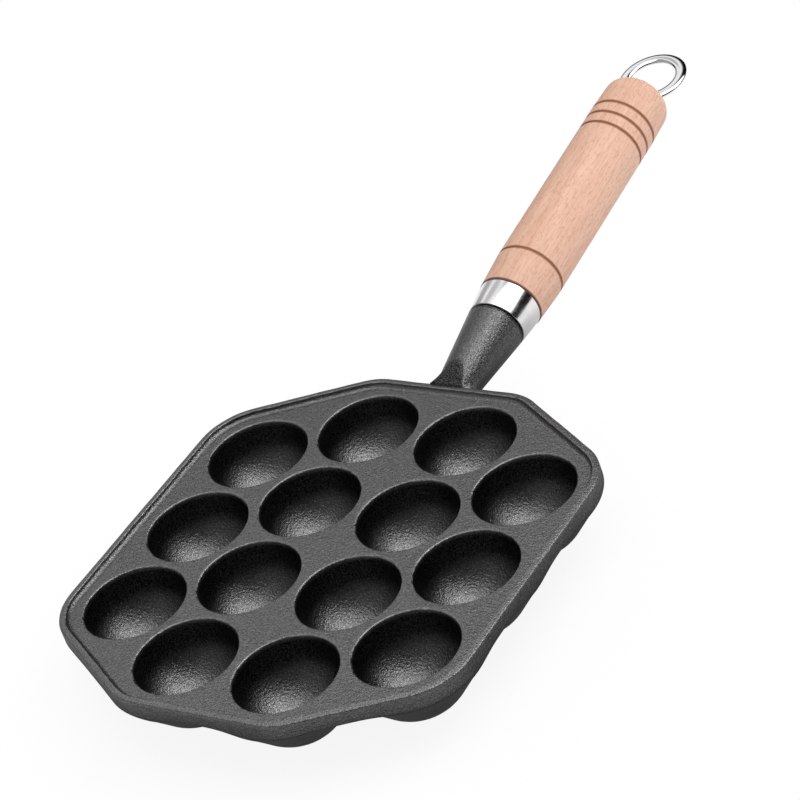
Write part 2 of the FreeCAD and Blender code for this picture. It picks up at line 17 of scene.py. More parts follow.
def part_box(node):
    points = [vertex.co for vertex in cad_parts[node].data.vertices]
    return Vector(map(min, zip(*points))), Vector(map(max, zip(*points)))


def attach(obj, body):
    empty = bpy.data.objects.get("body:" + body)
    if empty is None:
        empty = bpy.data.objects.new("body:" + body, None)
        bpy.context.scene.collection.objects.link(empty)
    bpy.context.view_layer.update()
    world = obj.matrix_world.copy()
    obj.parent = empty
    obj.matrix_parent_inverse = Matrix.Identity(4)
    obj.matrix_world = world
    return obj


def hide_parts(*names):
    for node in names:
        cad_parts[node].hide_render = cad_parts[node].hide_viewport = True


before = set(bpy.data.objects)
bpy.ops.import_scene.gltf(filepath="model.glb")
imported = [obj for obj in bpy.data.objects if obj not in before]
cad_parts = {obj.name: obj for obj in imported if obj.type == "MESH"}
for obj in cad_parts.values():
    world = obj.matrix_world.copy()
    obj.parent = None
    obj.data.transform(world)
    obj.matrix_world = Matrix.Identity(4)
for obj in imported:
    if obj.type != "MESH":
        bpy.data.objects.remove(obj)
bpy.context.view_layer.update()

print("CAD nodes:", sorted(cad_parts))

# %% [markdown]
# ## The sizes that drive every surface
# A pan like this is drawn from a few numbers: the cup, the bare plate left between cups, and the
# rim. The numbers are in metres, through `MM`, because Blender's own unit is the metre. The height
# of the plate and the middle of the pan are worked out from the cup and from the CAD box, and not
# typed in, so the surfaces land on the CAD solids.

# %% Cup, plate and rim
MM = 0.001
CUP_MOUTH = 20.0 * MM
CUP_DEPTH = 24.0 * MM
CUP_DRAFT = math.radians(7.5)
CUP_LIP = 0.7 * MM
SHELL_WALL = 3.0 * MM
SHELL_ROOT = 6.8 * MM
FOOT = 4.5 * MM
COLUMN_LAND, MIDDLE_LAND, SLANT_LAND = 3.4 * MM, 4.3 * MM, 4.0 * MM
PLATE = 4.2 * MM
RIM_HEIGHT, RIM_WIDTH = 2.2 * MM, 2.9 * MM
RIM_ROUND, CREST_ROUND, CREST_FALL = 0.4 * MM, 0.8 * MM, 0.4 * MM
HOLLOW, UNDER_ROUND = 1.8 * MM, 1.0 * MM
SIDE_LAND, END_LAND = 8.35 * MM, 7.9 * MM
SIDE_FLAT, END_FLAT = 16.4 * MM, 11.6 * MM
SIDE_CORNER, END_CORNER = 26.0 * MM, 24.0 * MM

ball = (CUP_MOUTH * math.cos(CUP_DRAFT) - CUP_DEPTH * math.sin(CUP_DRAFT)) / (1 - math.sin(CUP_DRAFT))
ball_depth = CUP_DEPTH - ball
shell = ball + SHELL_WALL
plate_top = ball_depth + math.sqrt(shell**2 - FOOT**2)
print(f"ball of {ball / MM:.2f} mm radius; the plate lies {plate_top / MM:.2f} mm above the table")

# %% [markdown]
# ## Where the cups lie
# Four columns of cups are staggered like coins packed on a table: the two outer columns sit half a
# pitch along from the inner ones. Columns and rows come from the width of bare plate between cups.

# %% Cup centres
pitch = 2 * CUP_MOUTH + COLUMN_LAND
inner_x = CUP_MOUTH + MIDDLE_LAND / 2
outer_x = inner_x + math.sqrt((2 * CUP_MOUTH + SLANT_LAND) ** 2 - (pitch / 2) ** 2)
half_length = 1.5 * pitch + CUP_MOUTH + END_LAND
half_width = outer_x + CUP_MOUTH + SIDE_LAND
pan_middle_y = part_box("pan_casting")[0].y + half_length
columns = [(-outer_x, 3), (-inner_x, 4), (inner_x, 4), (outer_x, 3)]
cups = [(x, (row - (count - 1) / 2) * pitch) for x, count in columns for row in range(count)]
cups = np.array(cups)
print(f"{len(cups)} cups, {pitch / MM:.1f} mm apart; the middle of the pan lies at y {pan_middle_y:.4f}")

# %% [markdown]
# ## Grids, profiles and meshes
# Nearly every piece here is a grid of points: rows along a profile, columns around it. A few small
# helpers are enough. One turns a grid into four-sided faces, and one rounds the corners of a profile
# with true arcs. The smooth step and the bell curve say how one shape or finish fades into another.


# %% Grid and profile helpers
def grid_faces(rows, columns, around=True, start=0):
    """Quads between neighbouring rows and columns; around also joins the last column to the first."""
    index = np.arange(rows * columns).reshape(rows, columns) + start
    if around:
        index = np.hstack([index, index[:, :1]])
    corners = (index[:-1, :-1], index[:-1, 1:], index[1:, 1:], index[1:, :-1])
    return np.stack([corner.ravel() for corner in corners], axis=1)


def rounded(corners, steps=6):
    """Profile through (a, b, radius) corners: each corner becomes an arc that touches both sides.

    The arc starts and ends at radius / tan(half the inner angle) from the corner, and its centre
    lies on the bisector at radius / sin(half the inner angle).
    """
    points = np.array([corner[:2] for corner in corners], float)
    profile = [points[:1]]
    for before, here, after, (_, _, radius) in zip(points, points[1:], points[2:], corners[1:-1]):
        if radius == 0:
            profile.append(here[None])
            continue
        back, ahead = before - here, after - here
        back, ahead = back / np.hypot(*back), ahead / np.hypot(*ahead)
        half = math.acos(np.clip(back @ ahead, -1, 1)) / 2
        bisector = (back + ahead) / np.hypot(*(back + ahead))
        centre = here + bisector * radius / math.sin(half)
        first = here + back * radius / math.tan(half) - centre
        last = here + ahead * radius / math.tan(half) - centre
        bend = math.atan2(first[0] * last[1] - first[1] * last[0], first @ last)
        angle = np.linspace(0, bend, steps + 1)[:, None]
        side = np.array([-first[1], first[0]])
        profile.append(centre + np.cos(angle) * first + np.sin(angle) * side)
    profile.append(points[-1:])
    return np.vstack(profile)


def smooth(share):
    """Smooth step: share^2 * (3 - 2 * share), held at 0 below share 0 and at 1 above share 1."""
    share = np.clip(share, 0, 1)
    return share**2 * (3 - 2 * share)


def closeness(distance, reach):
    """Bell curve exp(-(distance / reach)^2): 1 at no distance, next to nothing at twice the reach."""
    return np.exp(-((distance / reach) ** 2))


print("a rounded corner is a run of", len(rounded([(0, 0, 0), (1, 0, 0.2), (1, 1, 0)])), "points")

# %% [markdown]
# Grids become one closed mesh by welding. Equal points merge, which closes the poles and the seams,
# and the normals are recalculated after it, so that all faces point outwards. The count of open
# edges is printed for each mesh, and it should be zero for all but the table, which is a flat disc.

# %% Mesh helper
WELD = 0.0005 * MM
SHARP = math.radians(50)


def welded_object(name, grids):
    """One closed mesh from (rows, columns, 3) grids that run around; equal points are welded."""
    faces, start = [], 0
    for grid in grids:
        faces.append(grid_faces(*grid.shape[:2], start=start))
        start += grid.shape[0] * grid.shape[1]
    mesh = bpy.data.meshes.new(name)
    points = np.vstack([grid.reshape(-1, 3) for grid in grids])
    mesh.vertices.add(len(points))
    mesh.vertices.foreach_set("co", points.ravel())
    faces = np.vstack(faces)
    mesh.loops.add(faces.size)
    mesh.loops.foreach_set("vertex_index", faces.ravel())
    mesh.polygons.add(len(faces))
    mesh.polygons.foreach_set("loop_start", np.arange(0, faces.size, 4))
    mesh.update(calc_edges=True)
    work = bmesh.new()
    work.from_mesh(mesh)
    bmesh.ops.remove_doubles(work, verts=work.verts, dist=WELD)
    bmesh.ops.recalc_face_normals(work, faces=work.faces)
    open_edges = sum(not edge.is_manifold for edge in work.edges)
    work.to_mesh(mesh)
    work.free()
    mesh.shade_smooth()
    mesh.set_sharp_from_angle(angle=SHARP)
    piece = bpy.data.objects.new(name, mesh)
    bpy.context.scene.collection.objects.link(piece)
    print(f"{name}: {len(mesh.vertices)} points, {len(mesh.polygons)} faces, {open_edges} open edges")
    return piece


# %% [markdown]
# ## The outline of the pan
# The pan is an octagon with rounded corners. It is kept as points with outward normals, because
# any line inside it, such as the foot of the rim, is then the same points moved in along their
# normals. The walk starts in the middle of the right-hand side, where no border between two cups
# meets the edge.


# %% Rounded octagon
def octagon_outline(step):
    """Points and outward normals along the outline: straight runs and arcs, cut into short steps."""
    side_y, end_x = pitch + SIDE_FLAT, inner_x + END_FLAT
    quarter = [(half_width, side_y, SIDE_CORNER), (end_x, half_length, END_CORNER)]
    turned = [(-x, y, radius) for x, y, radius in quarter[::-1]]
    corners = quarter + turned + [(-x, -y, radius) for x, y, radius in quarter + turned]
    points, normals = [], []
    here = np.array([half_width, 0.0])
    for i, (x, y, radius) in enumerate(corners):
        corner = np.array([x, y])
        after = np.array(corners[(i + 1) % len(corners)][:2])
        before = np.array(corners[i - 1][:2])
        into = (corner - before) / np.hypot(*(corner - before))
        out = (after - corner) / np.hypot(*(after - corner))
        bend = math.acos(into @ out)
        reach = radius * math.tan(bend / 2)
        run = corner - into * reach - here
        count = max(1, round(np.hypot(*run) / step))
        points.append(here + np.arange(count)[:, None] / count * run)
        normals.append(np.tile([into[1], -into[0]], (count, 1)))
        count = max(3, round(radius * bend / step))
        angle = math.atan2(-into[0], into[1]) + np.arange(count) / count * bend
        radial = np.stack([np.cos(angle), np.sin(angle)], axis=1)
        centre = corner - into * reach - np.array([into[1], -into[0]]) * radius
        points.append(centre + radial * radius)
        normals.append(radial)
        here = corner + out * reach
    count = max(1, round(-here[1] / step))
    points.append(here + np.arange(count)[:, None] / count * (np.array([half_width, 0.0]) - here))
    normals.append(np.tile([1.0, 0.0], (count, 1)))
    return np.vstack(points), np.vstack(normals)


STEP = 1.45 * MM
outline, outward = octagon_outline(STEP)
rim_foot = RIM_WIDTH + HOLLOW
print(f"outline of {len(outline)} points, {(np.ptp(outline, axis=0) / MM).round(1)} mm")

# %% [markdown]
# ## One cell of plate for each cup
# How can a flat plate with fourteen round holes be one tidy grid? Each cup gets its own cell: all
# the plate that is nearer to it than to any other cup. The border between two cups is the line
# halfway between them, so a cell is the floor outline cut by those lines. Around one cup the grid
# is then rings by rays, and the rays of two neighbours end on the same border points.

# %% Cells
ONE_STEP = 1.001  # along the outline, with room for rounding


def cut(loop, middle, direction):
    """The part of a closed (x, y, place) loop that lies behind the line through middle.

    place is how many outline steps along the outline a point lies; it is carried through the cut.
    """
    side = (loop[:, :2] - middle) @ direction
    ahead, ahead_side = np.roll(loop, -1, axis=0), np.roll(side, -1)
    inside, crosses = side <= 0, (side <= 0) != (ahead_side <= 0)
    share = np.where(crosses, side / np.where(crosses, side - ahead_side, 1), 0)[:, None]
    crossing = loop + share * (ahead - loop)
    crossing[np.abs(ahead[:, 2] - loop[:, 2]) > ONE_STEP, 2] = np.nan
    both = np.stack([loop, crossing], axis=1).reshape(-1, 3)
    return both[np.stack([inside, crosses], axis=1).ravel()]


def cell_border(centre):
    """Border of the cell round one cup, with every straight border cut into short equal steps."""
    floor = outline - outward * rim_foot
    loop = np.column_stack([floor, np.arange(len(floor), dtype=float)])
    for other in cups:
        if not np.array_equal(other, centre):
            loop = cut(loop, (centre + other) / 2, other - centre)
    run = np.roll(loop, -1, axis=0) - loop
    on_outline = (np.abs(run[:, 2]) < ONE_STEP) | (np.abs(run[:, 2]) > len(floor) - ONE_STEP)
    length = np.hypot(run[:, 0], run[:, 1])
    pieces = np.where(on_outline, 1, np.maximum(1, np.round(length / STEP))).astype(int)
    edge = np.repeat(np.arange(len(loop)), pieces)
    share = (np.arange(len(edge)) - np.repeat(np.cumsum(pieces) - pieces, pieces)) / pieces[edge]
    points = loop[edge, :2] + share[:, None] * run[edge, :2]
    return points, np.where(share == 0, loop[edge, 2], np.nan)


borders = [cell_border(centre) for centre in cups]
print("points on the cell borders:", [len(points) for points, _ in borders])

# %% [markdown]
# ## The shape of a cup, inside and outside
# Inside, a cup is a ball with a slightly open cone above it, so that the pattern leaves the sand
# and the food leaves the cup. Outside, a larger ball ends in a small flat foot, and a cone spreads
# to the plate. Where the outsides of two cups meet, real iron has a soft valley. A soft minimum
# makes it: the logarithm of a sum of exponentials follows the lowest surface and rounds the crease.

# %% Cup profile and underside
SOFTNESS = 1.7 * MM
FOLLOWED = 10 * MM  # above the plate, where a cup's cone stops rising
straight_wall = 3 * CUP_LIP
ball_angle = np.linspace(0, math.pi / 2 - CUP_DRAFT, 19)
ball_profile = np.stack([ball * np.sin(ball_angle), -ball_depth - ball * np.cos(ball_angle)], axis=1)
lip_profile = rounded([(*ball_profile[-1], 0),
                       (CUP_MOUTH - straight_wall * math.tan(CUP_DRAFT), -straight_wall, 0),
                       (CUP_MOUTH, 0, CUP_LIP), (CUP_MOUTH + 2 * CUP_LIP, 0, 0)], 5)
cup_profile = np.vstack([ball_profile, lip_profile[1:]])

cone_top = np.array([shell + SHELL_ROOT, -PLATE])
cone_reach = math.hypot(cone_top[0], cone_top[1] + ball_depth)
cone_angle = math.acos(shell / cone_reach) - math.atan2(cone_top[1] + ball_depth, cone_top[0])
cone_foot = np.array([shell * math.cos(cone_angle), -ball_depth - shell * math.sin(cone_angle)])
cone_slope = (cone_top[1] - cone_foot[1]) / (cone_top[0] - cone_foot[0])


def underside(points):
    """Height of the underside below (x, y) points, from the plate's top.

    Each cup gives foot, ball or cone by the distance from its centre, the plate gives a flat, and
    the soft minimum of them all is -k log(sum of exp(-height / k)).
    """
    distance = np.hypot(*(points[..., None, :] - cups).transpose(-1, *range(points.ndim)))
    on_ball = -ball_depth - np.sqrt(np.maximum(shell**2 - np.maximum(distance, FOOT) ** 2, 0))
    on_cone = cone_foot[1] + (distance - cone_foot[0]) * cone_slope
    height = np.minimum(np.where(distance < cone_foot[0], on_ball, on_cone), FOLLOWED)
    total = np.exp(-height / SOFTNESS).sum(axis=-1) + math.exp(PLATE / SOFTNESS)
    return -SOFTNESS * np.log(total)


valley = underside(np.array([[0.0, 0.0]]))[0]
print(f"a cup is {CUP_DEPTH / MM:.0f} mm deep; the middle valley lies at {valley / MM:.1f} mm")

# %% [markdown]
# ## The casting
# The plate and the rim are three kinds of grid that share their border points: one top and one
# underside grid for each cell, and one band that runs round the pan. The cells come first. On top
# the rings follow the cup's profile and then spread over the bare plate. Below, they are close
# together under the ball, and then spread over the valleys.

# %% Plate and cups
PLATE_RINGS, BALL_RINGS, VALLEY_RINGS = 4, 6, 9
BALL_REACH = 15 * MM


def in_place(points, height):
    """Points of the pan's own plan and heights above its plate, in the object's frame."""
    x, y = points[..., 0], points[..., 1] + pan_middle_y
    return np.stack(np.broadcast_arrays(x, y, height + plate_top), -1)


def cell_grids(centre, border):
    """Top and underside grids of one cell: rings about the cup's centre, rays to the border."""
    ray = border - centre
    length = np.hypot(ray[:, 0], ray[:, 1])
    ray = ray / length[:, None]
    lip = cup_profile[-1, 0]
    share = np.linspace(0, 1, PLATE_RINGS + 1)[1:, None]
    distance = np.vstack([np.tile(cup_profile[:, :1], len(ray)), lip + share * (length - lip)])
    height = np.concatenate([cup_profile[:, 1], np.zeros(PLATE_RINGS)])[:, None]
    top = in_place(centre + distance[..., None] * ray, height)
    inner = np.concatenate([[0, FOOT / 2, FOOT], np.linspace(FOOT, BALL_REACH, BALL_RINGS + 1)[1:]])
    share = np.linspace(0, 1, VALLEY_RINGS + 1)[1:, None]
    distance = np.vstack([np.tile(inner[:, None], len(ray)), inner[-1] + share * (length - inner[-1])])
    points = centre + distance[..., None] * ray
    return top, in_place(points, underside(points))


plate_grids = [grid for centre, (border, _) in zip(cups, borders) for grid in cell_grids(centre, border)]
print(f"{len(plate_grids)} grids for the cups and the plate")

# %% [markdown]
# The rim's profile is moved along the outline, from the foot of the hollow inside it, over the crest
# and round the lower edge. Sand castings are never quite true, so the rim gets a slow waviness of
# about a tenth of a millimetre, made from a few sine waves that fit a whole number of times round
# the pan.

# %% Rim
SIDE_WAVE, CREST_WAVE = 0.10 * MM, 0.06 * MM
WAVES_ROUND = np.array([11, 19, 31, 53])
INNER_SEED, OUTER_SEED = 3, 8
UNDER_RINGS = 3
HOLLOW_FIT = 0.98  # just under 1, so that the arc of the hollow starts after the foot


def waviness(place, seed):
    """Sum of sin(2 pi * waves * place + phase) / 3 over the waves: between about -1 and 1."""
    phases = np.random.default_rng(seed).uniform(0, 2 * math.pi, len(WAVES_ROUND))
    return np.sin(2 * math.pi * np.outer(place, WAVES_ROUND) + phases).sum(axis=1) / 3


def rim_band():
    """Band round the pan: the rim's profile moved along the outline, then the underside's edge."""
    places = np.concatenate([place[~np.isnan(place)] for _, place in borders])
    places = np.unique(np.round(places, 6))
    steps = np.arange(len(outline) + 1)
    closed = [np.vstack([values, values[:1]]) for values in (outline, outward)]
    point, normal = (np.stack([np.interp(places, steps, v[:, axis]) for axis in (0, 1)], 1) for v in closed)
    profile = rounded([(rim_foot, 0, 0), (RIM_WIDTH, 0, HOLLOW * HOLLOW_FIT),
                       (RIM_WIDTH, RIM_HEIGHT, RIM_ROUND), (0, RIM_HEIGHT - CREST_FALL, CREST_ROUND),
                       (0, -PLATE, UNDER_ROUND), (rim_foot / 2, -PLATE, 0)])
    wave_place = places / len(outline)
    inner_wave, outer_wave = waviness(wave_place, INNER_SEED), waviness(wave_place, OUTER_SEED)
    inset = np.repeat(profile[:, :1], len(places), axis=1)
    height = np.repeat(profile[:, 1:], len(places), axis=1)
    lift = np.clip(height / RIM_HEIGHT, 0, 1)
    toward_inside = np.clip(inset / RIM_WIDTH, 0, 1)
    wave = toward_inside * inner_wave + (1 - toward_inside) * (1 + outer_wave)
    inset = inset + lift * SIDE_WAVE * wave
    height = height - lift * CREST_WAVE * (1 + inner_wave)
    band = point - inset[..., None] * normal
    under_inset = np.linspace(rim_foot / 2, rim_foot, UNDER_RINGS + 1)[1:, None, None]
    under = point - under_inset * normal
    height = height + np.clip(-height / PLATE, 0, 1) ** 2 * (underside(band) + PLATE)
    return np.vstack([in_place(band, height), in_place(under, underside(under))])


plate_grids.append(rim_band())
print(f"rim band of {plate_grids[-1].shape[0]} rows and {plate_grids[-1].shape[1]} columns")

# %% [markdown]
# ## The handle axis and the cast stem
# Everything behind the pan is turned about one line that leaves the end of the pan and rises by
# seven degrees. `turn` carries a profile of (distance along the axis, radius) around that line, as
# a lathe would, so a turned piece needs no more than its profile.

# %% Handle axis
TILT = math.radians(7.0)
HANDLE_DROP = 2.24 * MM
axis_start = np.array([0, pan_middle_y + half_length, plate_top - HANDLE_DROP])
along = np.array([0, math.cos(TILT), math.sin(TILT)])
upward = np.array([0, -math.sin(TILT), math.cos(TILT)])
across = np.array([1.0, 0, 0])


def turn(profile, sides=96):
    """Surface of revolution: axis point + s * along + r * (cos a * across + sin a * upward)."""
    angle = np.arange(sides) / sides * 2 * math.pi
    radial = np.cos(angle)[:, None] * across + np.sin(angle)[:, None] * upward
    return axis_start + profile[:, None, :1] * along + profile[:, None, 1:] * radial


print("handle axis starts at", axis_start.round(4))

# %% [markdown]
# The stem's profile runs from its root under the plate, through a hollow flare at the rim, along a
# cone to a rounded shoulder, and then round a short spigot into the threaded hole for the tie rod.

# %% Stem profile
STEM_LENGTH, STEM_ROOT, STEM_END = 37.4 * MM, 7.6 * MM, 11.85 * MM
FLARE, FLARE_LENGTH, FLARE_ROUND = 2.4 * MM, 5.5 * MM, 9.0 * MM
GUSSET_LENGTH, GUSSET_END = 12.0 * MM, 4.2 * MM
SHOULDER_ROUND, SPIGOT_LENGTH, SPIGOT_ROUND = 1.6 * MM, 4.0 * MM, 0.4 * MM
FERRULE_WALL, SEAT_GAP = 0.8 * MM, 0.05 * MM
ROD, THREAD_GAP, ENGAGEMENT, RUN_OUT = 3.0 * MM, 0.05 * MM, 12.0 * MM, 2.0 * MM
spigot_top = STEM_LENGTH + SPIGOT_LENGTH
rod_tip = spigot_top - ENGAGEMENT


def hollow_arc(start, finish, radius, steps=8):
    """Short arc from start to finish, with its centre on the outer side of the profile."""
    start, finish = np.array(start), np.array(finish)
    chord = finish - start
    side = np.array([-chord[1], chord[0]]) / np.hypot(*chord)
    centre = (start + finish) / 2 + side * math.sqrt(radius**2 - (chord @ chord) / 4)
    first, last = np.arctan2(*(start - centre)[::-1]), np.arctan2(*(finish - centre)[::-1])
    angle = np.linspace(first, first + (last - first + math.pi) % (2 * math.pi) - math.pi, steps + 1)
    return centre + radius * np.stack([np.cos(angle), np.sin(angle)], axis=1)


flare_end = STEM_ROOT + (STEM_END - STEM_ROOT) * FLARE_LENGTH / STEM_LENGTH
spigot = STEM_END - FERRULE_WALL - SEAT_GAP
bore = ROD + THREAD_GAP
root = np.stack([np.linspace(-GUSSET_LENGTH, 0, 9), np.linspace(GUSSET_END, STEM_ROOT + FLARE, 9)], axis=1)
flare = hollow_arc((0, STEM_ROOT + FLARE), (FLARE_LENGTH, flare_end), FLARE_ROUND)
cone_run = np.linspace(0, 1, 33)[1:-1, None] * [STEM_LENGTH - FLARE_LENGTH, STEM_END - flare_end]
shoulder = rounded([(*(flare[-1] + cone_run[-1]), 0), (STEM_LENGTH, STEM_END, SHOULDER_ROUND),
                    (STEM_LENGTH, spigot, 0), (spigot_top, spigot, SPIGOT_ROUND), (spigot_top, bore, 0),
                    (rod_tip - RUN_OUT, bore, 0), (rod_tip - RUN_OUT, 0, 0)])
stem_profile = np.vstack([[(-GUSSET_LENGTH, 0)], root, flare[1:], flare[-1] + cone_run, shoulder[1:]])
print(f"stem profile of {len(stem_profile)} points")

# %% [markdown]
# On its upper right the flare is ground away, so there the slim cone runs on to the rim. Two turned
# surfaces with the same grid make this easy: a share that changes smoothly around the stem mixes
# them. The top is then cut by a flat that rises from the rim. The same soft minimum as under the
# cups cuts it, so the edge of the flat is not knife-sharp. In front of the rim the flat dives steeply
# into the plate, and the stem hides there.

# %% Ground side and flat
FLAT_SLOPE, FLAT_EDGE, FLAT_HALF_WIDTH = math.radians(28.0), 0.3 * MM, 10.0 * MM
DIVE_SLOPE, DIVE_DEPTH = 6, 4.2 * MM
TOP_FROM, TOP_FULL, RIGHT_FROM, RIGHT_FULL = 0.15, 0.50, -0.5, 0.1

stem = turn(stem_profile)
flared = (stem_profile[:, 0] > -GUSSET_LENGTH) & (stem_profile[:, 0] < FLARE_LENGTH)
slim_cone = STEM_ROOT + (flare_end - STEM_ROOT) * stem_profile[flared, 0] / FLARE_LENGTH
slim_profile = stem_profile.copy()
slim_profile[flared, 1] = np.minimum(slim_profile[flared, 1], slim_cone)
angle = np.arange(stem.shape[1]) / stem.shape[1] * 2 * math.pi
on_top = (np.sin(angle) - TOP_FROM) / (TOP_FULL - TOP_FROM)
on_right = (np.cos(angle) - RIGHT_FROM) / (RIGHT_FULL - RIGHT_FROM)
ground = smooth(np.minimum(on_top, on_right))[:, None]
stem = stem + ground * (turn(slim_profile) - stem)

behind = stem[..., 1] - axis_start[1] + RIM_WIDTH / 2
rise = np.where(behind > 0, math.tan(FLAT_SLOPE) * behind, np.maximum(DIVE_SLOPE * behind, -DIVE_DEPTH))
flat = plate_top + RIM_HEIGHT + rise
stem[..., 2] = -FLAT_EDGE * np.logaddexp(-stem[..., 2] / FLAT_EDGE, -flat / FLAT_EDGE)
cast_pan = welded_object("cast_pan", plate_grids + [stem])
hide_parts("pan_casting")
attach(cast_pan, "pan")

# %% [markdown]
# ## Where the iron is rubbed bright and where shade is painted on
# A used pan is bright where things slide over it, on the lips of the cups and on the inner edge of
# the rim; that brightness is partly wear and partly a painted highlight. High on the walls of the
# cups and on the flat the shine is switched off as painted shade, and on the stem it is dulled. A
# point attribute holds that as one number, from 1 for bare metal with a painted highlight down to
# -1 for painted shade, and the material reads it. It could be painted by hand, but worked out from
# distances it follows every change of the sizes.

# %% Wear, painted highlight and painted shade
# Lips and rim crest: partly wear, partly a painted highlight. The flat and the upper cup walls: painted
# shade. The stem: a duller shine.
LIP_WEAR_AND_HIGHLIGHT, STEM_RUB, FLAT_PAINTED_SHADE = 0.75, -0.40, -0.95
LIP_REACH, CREST_REACH = 0.40 * MM, 0.35 * MM
LIP_TOP, CREST_TOP = 0.15 * MM, 0.10 * MM  # how far below the edge the rubbing is strongest
CUP_SHADE_FROM, CUP_SHADE_FULL = -14.5 * MM, -8.0 * MM
TOP_LAYER, PLATE_SKIN, MARGIN = -2.0 * MM, 0.1 * MM, 1.0 * MM

points = np.empty(len(cast_pan.data.vertices) * 3)
cast_pan.data.vertices.foreach_get("co", points)
x, y, height = (points.reshape(-1, 3) - (0, pan_middle_y, plate_top)).T
to_cup = np.hypot(x[:, None] - cups[:, 0], y[:, None] - cups[:, 1])
to_lip = np.hypot(np.abs(to_cup - CUP_MOUTH).min(axis=1), np.minimum(height + LIP_TOP, 0))
# Cup lips: partly wear, partly a painted highlight.
lip_wear_and_highlight = LIP_WEAR_AND_HIGHLIGHT * closeness(to_lip, LIP_REACH) * (height < PLATE_SKIN)
near_top = (height > TOP_LAYER) & (np.abs(y) < half_length + MARGIN)
inset = np.full(len(x), np.inf)
inset[near_top] = np.hypot(x[near_top, None] - outline[:, 0], y[near_top, None] - outline[:, 1]).min(axis=1)
# Rim crest: partly wear, partly a painted highlight.
crest_wear_and_highlight = closeness(np.hypot(inset - RIM_WIDTH, height - RIM_HEIGHT + CREST_TOP), CREST_REACH)
rub_and_painted_light = np.where(near_top, np.maximum(lip_wear_and_highlight, crest_wear_and_highlight), 0)

rub_and_painted_light[y > half_length + MARGIN] = STEM_RUB
past_rim = y - half_length + RIM_WIDTH / 2
from_flat = np.abs(height - RIM_HEIGHT - math.tan(FLAT_SLOPE) * past_rim)
# The ground flat on the stem: painted shade.
rub_and_painted_light[(past_rim > 0) & (np.abs(x) < FLAT_HALF_WIDTH) & (from_flat < FLAT_EDGE)] = FLAT_PAINTED_SHADE
from_ball = np.hypot(to_cup.min(axis=1), np.minimum(height + ball_depth, 0))
in_cup = (from_ball < CUP_MOUTH + MARGIN) & (height < -CUP_LIP) & (rub_and_painted_light <= 0.02)
# High on the cup walls: painted shade, fading out towards the bottom of each cup.
rub_and_painted_light[in_cup] = -smooth((height[in_cup] - CUP_SHADE_FROM) / (CUP_SHADE_FULL - CUP_SHADE_FROM))
cast_pan.data.attributes.new("wear_and_painted_light", "FLOAT", "POINT").data.foreach_set("value", rub_and_painted_light)
print(f"wear is strong at {np.count_nonzero(rub_and_painted_light > 0.5)} of {len(rub_and_painted_light)} points")

# %% [markdown]
# ## Ferrule, grip and washer
# These three are plain turned pieces, as on the lathe: one closed profile each. What makes them
# look made is in the corners: the ferrule's sheet ends are rolled a little, and every groove in the
# beech has a soft bottom and broken edges. A closed profile starts in the middle of a straight wall,
# where it has no corner to round.

# %% Ferrule
FERRULE_LENGTH, FERRULE_END = 12.2 * MM, 13.05 * MM
ROLLED, FERRULE_SEAM = 0.3 * MM, 6.0 * MM
ferrule_base = STEM_LENGTH + SEAT_GAP
ferrule_top = ferrule_base + FERRULE_LENGTH
corners = [(ferrule_base + FERRULE_SEAM, (STEM_END + FERRULE_END) / 2 - FERRULE_WALL, 0),
           (ferrule_base, STEM_END - FERRULE_WALL, ROLLED / 2), (ferrule_base, STEM_END, ROLLED),
           (ferrule_top, FERRULE_END, ROLLED), (ferrule_top, FERRULE_END - FERRULE_WALL, ROLLED / 2)]
ferrule_profile = rounded(corners + corners[:1])
ferrule_sleeve = welded_object("ferrule_sleeve", [turn(ferrule_profile, 128)])
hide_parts("ferrule")
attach(ferrule_sleeve, "pan")

# %% [markdown]
# The grip swells from the ferrule to its body and closes in an arc to a dish at the back. The
# hanging ring turns in that dish, so the dish follows from the ring: it starts where a ring with a
# small gap round it would touch the end of the wood. Below it a counterbore takes the washer, and a
# straight bore takes the rod.

# %% Grip
GRIP_LENGTH = 121.7 * MM
GRIP_FRONT, GRIP_BODY, GRIP_BACK = 13.25 * MM, 14.2 * MM, 13.8 * MM
FRONT_GROOVE, BACK_GROOVE, GROOVE_SPACING, BACK_GROOVES = 17.2 * MM, 18.4 * MM, 6.2 * MM, 3
GROOVE_WIDTH, GROOVE_DEPTH = 1.2 * MM, 0.5 * MM
END_ROUND, DISH, COUNTERBORE, COUNTERBORE_DEPTH = 6.0 * MM, 9.7 * MM, 7.4 * MM, 4.7 * MM
DISH_ROUND, COUNTERBORE_ROUND, BORE_ROUND = 0.25 * MM, 0.15 * MM, 0.2 * MM
FRONT_ROUND, TENON_ROUND, GRIP_SEAM = 0.4 * MM, 0.3 * MM, 50.0 * MM
RING, RING_WIDTH, RING_THICKNESS, RING_GAP = 12.35 * MM, 5.1 * MM, 2.5 * MM, 0.3 * MM
ROD_CLEARANCE, TENON_GAP = 0.5 * MM, 0.3 * MM
grip_start = ferrule_top + SEAT_GAP
grip_end = grip_start + GRIP_LENGTH
ring_clear = RING + RING_WIDTH / 2 + RING_GAP
ring_centre = grip_end + math.sqrt(ring_clear**2 - DISH**2)
dish_floor = ring_centre - math.sqrt(ring_clear**2 - COUNTERBORE**2)
last_groove = grip_end - BACK_GROOVE
grooves = [last_groove - i * GROOVE_SPACING for i in range(BACK_GROOVES)] + [grip_start + FRONT_GROOVE]
grooves.reverse()


def groove(place):
    """Corners of one groove: broken edges and a round bottom."""
    half = GROOVE_WIDTH / 2
    return [(place - half, GRIP_BODY, half / 2), (place, GRIP_BODY - GROOVE_DEPTH, half / 2),
            (place + half, GRIP_BODY, half / 2)]


